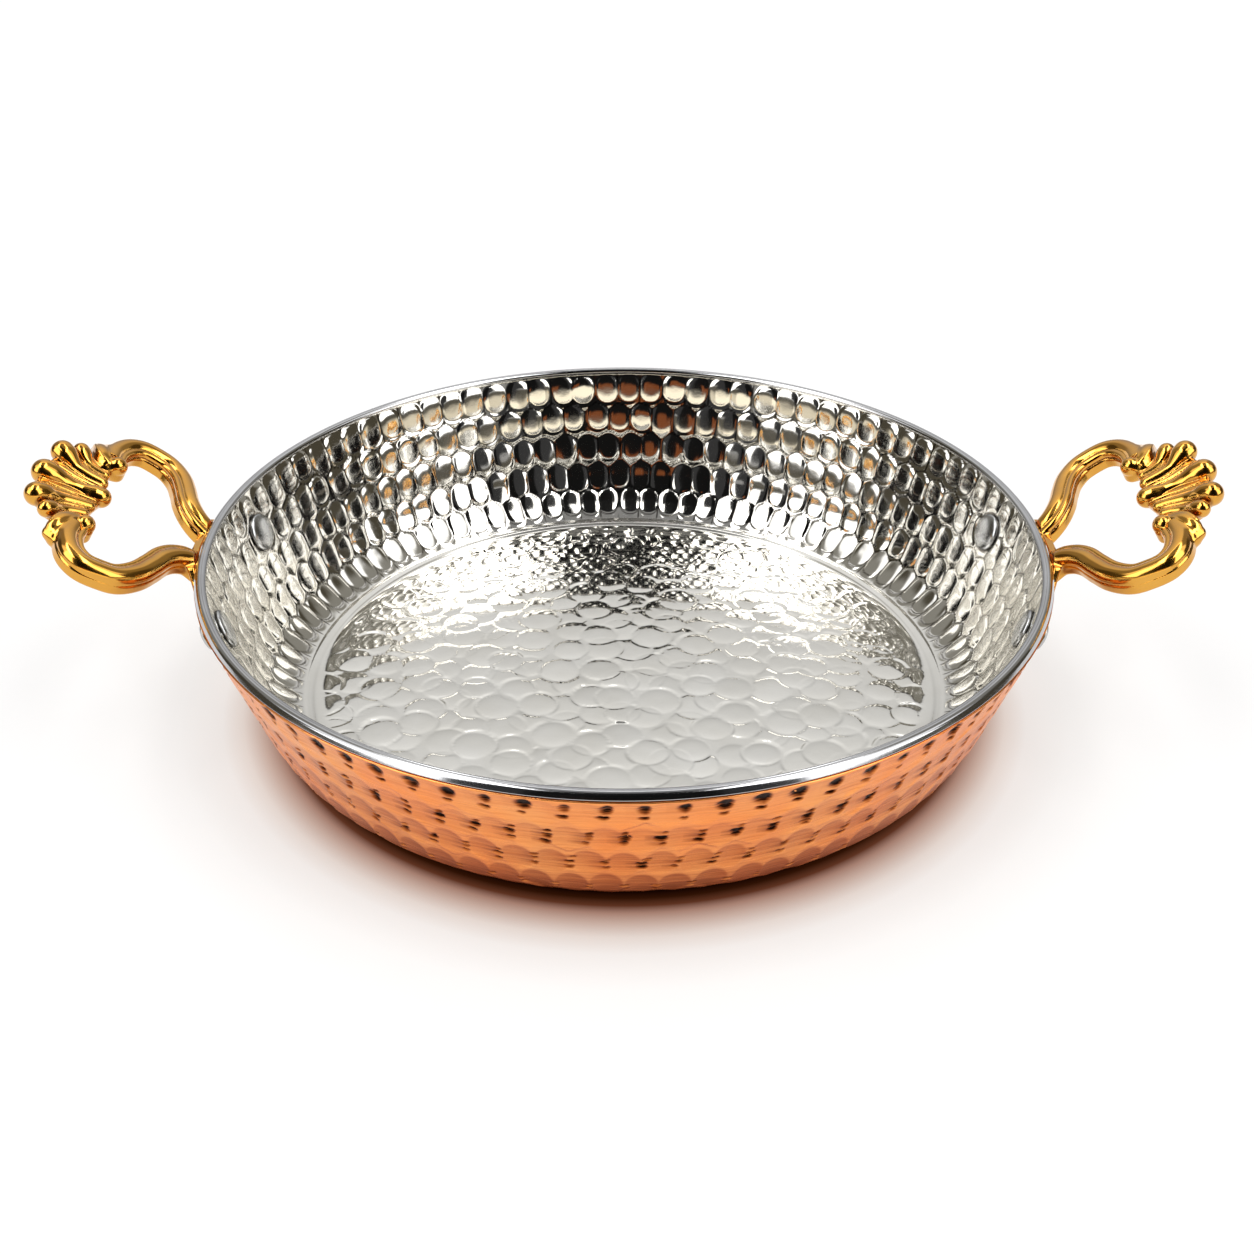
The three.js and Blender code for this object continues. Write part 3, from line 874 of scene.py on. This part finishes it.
def make_handle_mesh():
    """The field's surface as quads, with each point's exact place, its normal and its hollowness."""
    low, high = np.array(HANDLE_BOX)
    counts = ((high - low) / GRID).astype(int) + 1
    axes = [low[k] + GRID * np.arange(counts[k]) for k in range(3)]
    values = np.empty(counts, np.float32)
    for i, x in enumerate(axes[0]):
        y, z = np.meshgrid(axes[1], axes[2], indexing="ij")
        points = np.stack([np.full(y.size, x), y.ravel(), z.ravel()], 1)
        values[i] = handle_field(points).reshape(y.shape)
    whole = np.concatenate([values[:, :0:-1], values], axis=1)
    grid = openvdb.FloatGrid(FAR)
    grid.copyFromArray(np.clip(whole, -FAR, FAR))
    points, quads = grid.convertToQuads(isovalue=0.0)
    points = points.astype(float) * GRID + np.array([low[0], -GRID * (counts[1] - 1), low[2]])
    for _ in range(3):
        slope = slope_at(points, PLACE_STEP)
        value = handle_field(points)[:, None]
        length = np.maximum((slope ** 2).sum(1), 0.25)[:, None]
        points = points - np.clip(value * slope / length, -GRID / 2, GRID / 2)
    normal = slope_at(points, NORMAL_STEP)
    normal /= np.maximum(np.linalg.norm(normal, axis=1), TINY)[:, None]
    # How enclosed each point is, which sets painted shade in the handle's hollows.
    hollow_shade = np.clip(1 - handle_field(points + normal * CAVITY_REACH) / CAVITY_REACH, 0, 1)
    return points, quads.tolist(), normal, hollow_shade


def make_handle(name, points, faces, normal, hollow_shade, side):
    """The right handle, or the left one as the right one turned half way round the pan's axis."""
    turn = np.array([side, side, 1])
    piece = new_piece(name, points * turn, faces)
    piece.data.normals_split_custom_set_from_vertices((normal * turn).tolist())
    add_attribute(piece, "hollow_shade", hollow_shade)
    return piece


# Materials
class Nodes:
    """The node tree of a material or a world, with short ways to add and join nodes."""

    def __init__(self, owner):
        owner.use_nodes = True
        self.owner = owner
        self.tree = owner.node_tree
        self.shader = self.tree.nodes.get("Principled BSDF")

    def join(self, socket, value):
        """Link a socket to another node's output, or give it a plain value."""
        if isinstance(value, bpy.types.NodeSocket):
            self.tree.links.new(value, socket)
        else:
            socket.default_value = value

    def add(self, kind, inputs=None, **settings):
        node = self.tree.nodes.new(kind)
        for key, value in settings.items():
            setattr(node, key, value)
        for key, value in (inputs or {}).items():
            self.join(node.inputs[key], value)
        return node

    def math(self, operation, a, b=0.0, c=0.0):
        node = self.add("ShaderNodeMath", {0: a, 1: b, 2: c}, operation=operation)
        return node.outputs[0]

    def attribute(self, name):
        return self.add("ShaderNodeAttribute", attribute_name=name).outputs["Fac"]

    def ramp(self, value, low, high, to_low, to_high, **settings):
        inputs = {"Value": value, "From Min": low, "From Max": high, "To Min": to_low, "To Max": to_high}
        return self.add("ShaderNodeMapRange", inputs, **settings).outputs["Result"]

    def noise(self, vector, scale, detail=4.0, roughness=0.5):
        inputs = {"Vector": vector, "Scale": scale, "Detail": detail, "Roughness": roughness}
        return self.add("ShaderNodeTexNoise", inputs).outputs["Fac"]

    def mix(self, share, first, second, **settings):
        """The mixed colour. Inputs 6 and 7 and output 2 are the mix node's colours."""
        inputs = {0: share, 6: first, 7: second}
        return self.add("ShaderNodeMix", inputs, data_type="RGBA", **settings).outputs[2]

    def place(self):
        return self.add("ShaderNodeTexCoord").outputs["Object"]

    def stretched(self, scale):
        node = self.add("ShaderNodeVectorMath", {0: self.place(), 1: scale}, operation="MULTIPLY")
        return node.outputs[0]

    def set(self, socket, value):
        self.join(self.shader.inputs[socket], value)

    def bump(self, height, strength, distance):
        inputs = {"Height": height, "Strength": strength, "Distance": distance}
        self.set("Normal", self.add("ShaderNodeBump", inputs).outputs["Normal"])


def new_material(name, metallic=1.0):
    n = Nodes(bpy.data.materials.new(name))
    n.set("Metallic", metallic)
    return n


# The copper's two bright tones, its painted shade on the marks, its lined tone, its painted shade near the
# foot, and a pit's painted shade at its edge and middle
COPPER_BRIGHT = ((1.0, 0.33, 0.09, 1), (1.0, 0.405, 0.128, 1))
COPPER_MARK_SHADE = (0.50, 0.10, 0.012, 1)
COPPER_LINED = (0.60, 0.16, 0.045, 1)
COPPER_FOOT_SHADE = (0.34, 0.07, 0.014, 1)
COPPER_LOW_HEIGHTS = (0.002, 0.018)
PIT_EDGE_SHADE = (0.26, 0.05, 0.01, 1)
PIT_MIDDLE_SHADE = (0.004, 0.001, 0.0005, 1)
COPPER_BRUSHING = (45, 45, 1400)


def copper_material():
    n = new_material("hammered_copper")
    mark_shade = n.attribute("mark_shade")
    lines = n.noise(n.stretched(COPPER_BRUSHING), 1.0, 5.0, 0.65)
    pit_and_shade = n.math("MULTIPLY", n.attribute("pit_and_shade"), n.ramp(lines, 0.35, 0.65, 0.6, 1.4))
    cloud = n.noise(n.place(), 38.0, 3.0)
    bright = n.mix(n.ramp(cloud, 0.35, 0.65, 0, 1), *COPPER_BRIGHT)
    # Painted shade on the marks, streaked by the brushing lines.
    streaked = n.math("MULTIPLY", mark_shade, n.ramp(lines, 0.35, 0.6, 0.55, 1.0))
    mark_shaded = n.mix(n.math("MULTIPLY", streaked, 0.9), bright, COPPER_MARK_SHADE)
    lined = n.mix(n.ramp(lines, 0.48, 0.72, 0.0, 0.5), mark_shaded, COPPER_LINED)
    # Painted shade near the foot, darker low down, streaked by the brushing lines.
    height = n.add("ShaderNodeSeparateXYZ", {0: n.place()}).outputs[2]
    near_foot = n.ramp(height, *COPPER_LOW_HEIGHTS, 1.0, 0.0)
    low = n.math("MULTIPLY", near_foot, n.ramp(lines, 0.4, 0.56, 0.2, 1.0))
    based = n.mix(low, lined, COPPER_FOOT_SHADE)
    # Painted shade in the pits and the collar's groove: brown at their edges, near black in their middles.
    edged = n.mix(n.ramp(pit_and_shade, 0.06, 0.42, 0, 0.85), based, PIT_EDGE_SHADE)
    n.set("Base Color", n.mix(n.ramp(pit_and_shade, 0.4, 0.72, 0, 0.98), edged, PIT_MIDDLE_SHADE))
    n.set("Roughness", n.ramp(lines, 0.3, 0.7, 0.24, 0.38))
    n.bump(lines, 0.5, 0.0002)
    return n.owner


LINING_BRIGHT = ((0.71, 0.69, 0.64, 1), (0.77, 0.755, 0.715, 1))
# The painted shade in the valleys between marks and round the rivet heads
LINING_CREVICE_SHADE = (0.10, 0.085, 0.07, 1)
LIP_TONES = ((0.50, 0.50, 0.51, 1), (0.60, 0.60, 0.61, 1))
LIP_BRUSHING = (60, 60, 2600)


def lining_material():
    n = new_material("hammered_bright_lining")
    lip = n.attribute("lip")
    crevice_shade = n.attribute("crevice_shade")
    cloud = n.noise(n.place(), 60.0, 4.0)
    fine = n.noise(n.place(), 900.0, 3.0)
    scratches = n.noise(n.stretched(LIP_BRUSHING), 1.0, 4.0, 0.6)
    bright = n.mix(n.ramp(cloud, 0.3, 0.7, 0, 1), *LINING_BRIGHT)
    # Painted shade in the valleys and round the rivet heads.
    ridge = n.mix(n.ramp(crevice_shade, 0.0, 1.0, 0.0, 0.88), bright, LINING_CREVICE_SHADE)
    rim = n.mix(n.ramp(scratches, 0.4, 0.7, 0, 1), *LIP_TONES)
    n.set("Base Color", n.mix(lip, ridge, rim))
    plain = n.ramp(cloud, 0.3, 0.7, 0.055, 0.1)
    n.set("Roughness", n.math("ADD", plain, n.math("MULTIPLY", lip, 0.03)))
    n.bump(fine, 0.06, 0.0001)
    return n.owner


BRASS_TONES = ((0.69, 0.32, 0.03, 1), (0.76, 0.375, 0.045, 1))
BRASS_HOLLOW_SHADE = (0.30, 0.11, 0.01, 1)


def brass_material():
    n = new_material("cast_brass")
    hollow_shade = n.attribute("hollow_shade")
    cloud = n.noise(n.place(), 90.0, 4.0)
    fine = n.noise(n.place(), 700.0, 2.0)
    gold = n.mix(n.ramp(cloud, 0.3, 0.7, 0, 1), *BRASS_TONES)
    # Painted shade in the hollows, by how enclosed each point is.
    n.set("Base Color", n.mix(n.ramp(hollow_shade, 0.2, 0.75, 0, 0.8), gold, BRASS_HOLLOW_SHADE))
    n.set("Roughness", n.ramp(cloud, 0.3, 0.7, 0.09, 0.16))
    n.set("Coat Weight", 0.55)
    n.set("Coat IOR", 1.6)
    n.set("Coat Roughness", 0.06)
    n.bump(fine, 0.05, 0.0001)
    return n.owner


RIVET_TONES = ((0.46, 0.47, 0.48, 1), (0.58, 0.58, 0.58, 1))


def rivet_material():
    n = new_material("rivet_metal")
    cloud = n.noise(n.place(), 300.0, 3.0)
    n.set("Base Color", n.mix(n.ramp(cloud, 0.3, 0.7, 0, 1), *RIVET_TONES))
    n.set("Roughness", n.ramp(cloud, 0.3, 0.7, 0.18, 0.28))
    n.bump(cloud, 0.08, 0.0002)
    return n.owner


# Tints of the floor by the distance from the axis, the ramp's two ends first: a painted contact shadow, dark
# where the pan stands, and round it a painted warm glow of light thrown off the copper. The camera and
# reflections see a share of the tint itself, so that the pan's shadow is as faint as in the photo.
FLOOR_SHADOW_TINTS = (
    (95.0, (0.004, 0.0005, 0.0003)),
    (160.0, (1.0, 1.0, 1.0)),
    (97.8, (0.035, 0.008, 0.002)),
    (100.6, (0.135, 0.042, 0.02)),
    (103.4, (0.45, 0.265, 0.205)),
    (107.0, (0.64, 0.48, 0.41)),
    (112.0, (0.85, 0.77, 0.72)),
    (118.0, (0.95, 0.925, 0.905)),
    (130.0, (1.0, 0.995, 0.985)),
)
FLOOR_GLOW = 0.7
FLOOR_TONES = ((0.93, 0.93, 0.93, 1), (0.95, 0.95, 0.95, 1))


def floor_material():
    n = new_material("white_floor", 0.0)
    grain = n.noise(n.place(), 40.0, 3.0)
    pale = n.mix(n.ramp(grain, 0.3, 0.7, 0, 1), *FLOOR_TONES)
    flat = n.stretched((1, 1, 0))
    radius = n.add("ShaderNodeVectorMath", {0: flat}, operation="LENGTH").outputs["Value"]
    low, high = FLOOR_SHADOW_TINTS[0][0], FLOOR_SHADOW_TINTS[1][0]
    place = n.ramp(radius, low * MM, high * MM, 0, 1)
    colours = n.add("ShaderNodeValToRGB", {"Fac": place})
    stops = colours.color_ramp.elements
    for number, (reach, colour) in enumerate(FLOOR_SHADOW_TINTS):
        share = (reach - low) / (high - low)
        stop = stops[number] if number < 2 else stops.new(share)
        stop.position = share
        stop.color = (*colour, 1)
    # The painted contact shadow and the painted glow on the floor.
    tint = colours.outputs["Color"]
    n.set("Base Color", n.mix(1.0, pale, tint, blend_type="MULTIPLY"))
    n.set("Roughness", 0.7)
    n.set("Specular IOR Level", 0.1)
    ray = n.add("ShaderNodeLightPath").outputs
    seen = n.math("MAXIMUM", ray["Is Camera Ray"], ray["Is Glossy Ray"])
    # The floor gives off its tint as light to the camera and to reflections, painted shadow and glow
    # included.
    glow = n.add("ShaderNodeEmission", {"Color": tint, "Strength": 1.0}).outputs[0]
    share = n.math("MULTIPLY", seen, FLOOR_GLOW)
    mixed = n.add("ShaderNodeMixShader", {0: share, 1: n.shader.outputs[0], 2: glow}).outputs[0]
    n.join(n.tree.nodes["Material Output"].inputs["Surface"], mixed)
    return n.owner


# Stage. The camera was fitted to the photo. Its elevation is in radians, and its target is a point over the
# pan's middle, seen at a pixel of the photo.
CAMERA_ELEVATION = 0.5538542
CAMERA_DISTANCE = 492
TARGET_HEIGHT = 24
FOCAL_LENGTH_PX = 1684.97
PHOTO_SIZE_PX = 1254
TARGET_PX = (624.235, 611.558)
SENSOR = 36
CLIP_START = 0.01
FLOOR_REACH = 6000


def make_camera():
    """A camera that looks from the front at the target, turned so that the target falls on its pixel."""
    s, c = math.sin(CAMERA_ELEVATION), math.cos(CAMERA_ELEVATION)
    back = Vector((0, -c, s))
    right = Vector((1, 0, 0))
    up = Vector((0, s, c))
    middle = PHOTO_SIZE_PX / 2
    yaw = math.atan((TARGET_PX[0] - middle) / FOCAL_LENGTH_PX)
    pitch = math.atan((middle - TARGET_PX[1]) / FOCAL_LENGTH_PX)
    ahead = -back * math.cos(yaw) - right * math.sin(yaw)
    across = right * math.cos(yaw) - back * math.sin(yaw)
    look = ahead * math.cos(pitch) - up * math.sin(pitch)
    top = up * math.cos(pitch) + ahead * math.sin(pitch)
    data = bpy.data.cameras.new("camera")
    data.sensor_width = SENSOR
    data.lens = SENSOR * FOCAL_LENGTH_PX / PHOTO_SIZE_PX
    data.clip_start = CLIP_START
    camera = bpy.data.objects.new("camera", data)
    bpy.context.scene.collection.objects.link(camera)
    turn = Matrix((across, top, -look)).transposed().to_4x4()
    place = Vector((0, 0, TARGET_HEIGHT * MM)) + back * CAMERA_DISTANCE * MM
    camera.matrix_world = Matrix.Translation(place) @ turn
    bpy.context.scene.camera = camera


def make_floor():
    corners = [(x * FLOOR_REACH, y * FLOOR_REACH, 0) for x, y in ((-1, -1), (1, -1), (1, 1), (-1, 1))]
    floor = new_piece("floor", corners, [(0, 1, 2, 3)])
    floor.data.materials.append(floor_material())


# Zones of the studio: on both sides or one, degrees round from the front, degrees up, softness, colour
STUDIO = (
    (True, (104, 150), (-9, 62), 8, (0.3, 0.29, 0.26)),
    (True, (78, 122), (-9, 34), 6, (0.08, 0.07, 0.05)),
    (True, (34, 82), (15, 66), 3, (2.9, 2.9, 2.9)),
    (True, (82, 104), (33, 66), 4, (1.5, 1.5, 1.5)),
    (True, (28, 84), (6, 15), 2, (0.12, 0.11, 0.09)),
    (True, (28, 84), (-9, 7), 2, (0.95, 0.85, 0.66)),
    (True, (-9, 33), (-9, 8.5), 1.5, (1.5, 1.36, 1.08)),
    (True, (-9, 44), (15, 66), 2, (0.045, 0.045, 0.047)),
    (True, (-9, 33), (8.5, 68), 2, (0.045, 0.045, 0.047)),
    (True, (-9, 190), (62, 99), 3, (6.1, 6.1, 6.1)),
    (True, (-9, 24), (8.5, 84), 2, (0.008, 0.008, 0.008)),
    (False, (-15, -7), (9, 17), 2, (0.25, 0.075, 0.026)),
    (False, (-13, 11), (9, 14), 2, (0.25, 0.075, 0.026)),
)

# The sky's heights in degrees, and its levels at them
SKY = (0, 60, 0.3, 1.15)

# Overhead, a dimmer gap in the light and a dark card in front of it, by the parts of a direction
MIDDLE = (-0.24, 0.24, 0.04)
GAP_HEIGHTS = (63, 99, 3)
GAP_TONE = (0.28, 0.28, 0.28, 1)
CARD = (-0.5, -0.09, 0.03)
CARD_TONE = (0.012, 0.012, 0.012, 1)


def make_world():
    """A studio that paints its zones over a plain sky, each over those before it. The camera sees white."""
    world = bpy.data.worlds.new("studio")
    bpy.context.scene.world = world
    n = Nodes(world)
    n.tree.nodes.clear()

    def band(value, low, high, soft):
        rise = n.ramp(value, low - soft, low + soft, 0, 1, interpolation_type="SMOOTHSTEP")
        fall = n.ramp(value, high - soft, high + soft, 1, 0, interpolation_type="SMOOTHSTEP")
        return n.math("MULTIPLY", rise, fall)

    direction = n.add("ShaderNodeTexCoord").outputs["Generated"]
    x, y, z = n.add("ShaderNodeSeparateXYZ", {0: direction}).outputs
    height = n.math("MULTIPLY", n.math("ARCSINE", z), math.degrees(1))
    azimuth = n.math("MULTIPLY", n.math("ARCTAN2", x, n.math("MULTIPLY", y, -1)), math.degrees(1))
    side = n.math("ABSOLUTE", azimuth)
    rise = n.ramp(height, *SKY)
    colour = n.add("ShaderNodeCombineXYZ", {0: rise, 1: rise, 2: rise}).outputs[0]
    for sided, round_from_front, up, soft, tint in STUDIO:
        across = band(side if sided else azimuth, *round_from_front, soft)
        colour = n.mix(n.math("MULTIPLY", across, band(height, *up, soft)), colour, (*tint, 1))
    middle = band(x, *MIDDLE)
    colour = n.mix(n.math("MULTIPLY", middle, band(height, *GAP_HEIGHTS)), colour, GAP_TONE)
    colour = n.mix(n.math("MULTIPLY", middle, band(y, *CARD)), colour, CARD_TONE)
    seen = n.add("ShaderNodeLightPath").outputs["Is Camera Ray"]
    colour = n.mix(seen, colour, (1, 1, 1, 1))
    background = n.add("ShaderNodeBackground", {"Color": colour, "Strength": 1.0})
    n.join(n.add("ShaderNodeOutputWorld").inputs["Surface"], background.outputs[0])


def finish_piece(piece, material, node):
    piece.data.materials.append(material)
    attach(piece, "root")
    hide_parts(node)


scene = bpy.context.scene
scene.view_settings.view_transform = "Standard"
make_camera()
make_floor()
make_world()

finish_piece(make_copper(), copper_material(), "copper_shell")
finish_piece(make_lining(), lining_material(), "inner_lining")

brass = brass_material()
handle_mesh = make_handle_mesh()
for name, side in (("handle_right", 1), ("handle_left", -1)):
    handle = make_handle("ornate_" + name, *handle_mesh, side)
    finish_piece(handle, brass, name)

rivet_metal = rivet_material()
for name, azimuth in (("right_rear", RIVET_ANGLE), ("right_front", -RIVET_ANGLE),
                      ("left_rear", math.pi - RIVET_ANGLE), ("left_front", math.pi + RIVET_ANGLE)):
    finish_piece(make_rivet("domed_rivet_" + name, azimuth), rivet_metal, "rivet_" + name)
